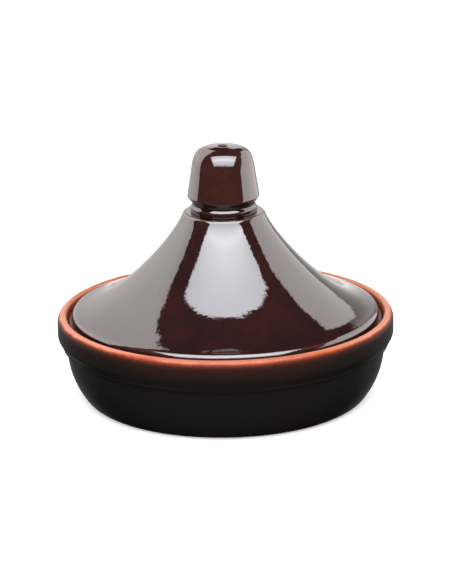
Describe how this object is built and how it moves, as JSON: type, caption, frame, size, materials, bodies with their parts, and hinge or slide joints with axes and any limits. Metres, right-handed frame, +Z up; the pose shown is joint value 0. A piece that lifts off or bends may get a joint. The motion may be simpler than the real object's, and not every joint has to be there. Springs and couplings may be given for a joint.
{
  "type": "tagine pot",
  "caption": "Glazed earthenware tagine: a shallow round cooking dish with a rolled rim and a flared conical lid that lifts off, with a hollow vented knob.",
  "frame": {"origin": "centre of the dish's flat underside, on the surface it stands on", "axes": "+Z up along the axis the pot was turned about, from the underside through the steam vent; +X and +Y are any two level directions, because the pot is round"},
  "size_m": [0.28, 0.28, 0.2139],
  "materials": {
    "dish_glaze": "near-black brown satin glaze over terracotta, thin and orange-brown along the rim, bare clay underneath",
    "lid_glaze": "dark red-brown high-gloss glaze over terracotta"
  },
  "bodies": {
    "dish": {"dish": "dish_glaze"},
    "lid": {"lid_cone": "lid_glaze", "vent_knob": "lid_glaze"}
  },
  "joints": [
    {"name": "lid_lift", "type": "slide", "parent": "dish", "child": "lid", "axis": [0, 0, 1], "range_m": [0, 0.2]}
  ]
}
